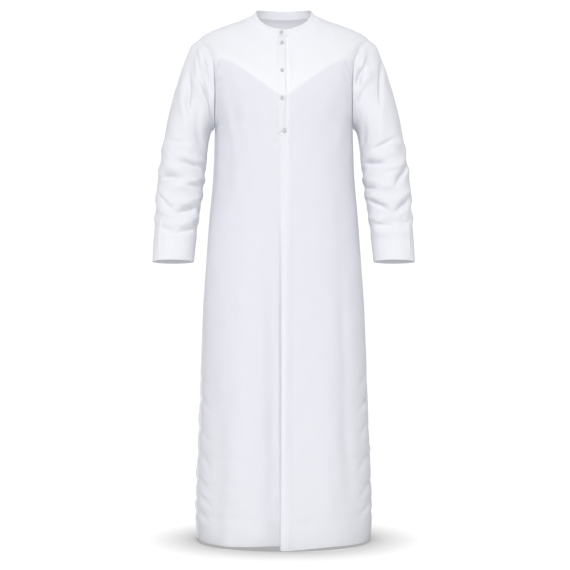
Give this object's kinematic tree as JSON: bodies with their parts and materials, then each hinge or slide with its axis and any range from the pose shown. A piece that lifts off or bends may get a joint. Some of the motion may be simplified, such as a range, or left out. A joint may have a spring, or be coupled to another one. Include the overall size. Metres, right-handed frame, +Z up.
{
  "type": "thobe robe",
  "caption": "Ankle-length white men's robe with long set-in sleeves, a low band collar and a short buttoned chest placket, filled out and hollow.",
  "frame": {"origin": "between the shoulders at the base of the neck, where the wearer's shoulders hold the robe up", "axes": "+Z up, -Y out of the front, +X towards the wearer's left"},
  "size_m": [0.714, 0.3539, 1.4601],
  "materials": {
    "cloth": "matte white cotton-polyester weave",
    "button": "semi-gloss pale grey"
  },
  "bodies": {
    "root": {"front_body": "cloth", "back_body": "cloth", "sleeve_left": "cloth", "sleeve_right": "cloth", "collar_band": "cloth", "placket": "cloth", "facing_left": "cloth", "facing_right": "cloth", "button_1": "button", "button_2": "button", "button_3": "button", "button_4": "button", "button_5": "button"}
  },
  "joints": []
}
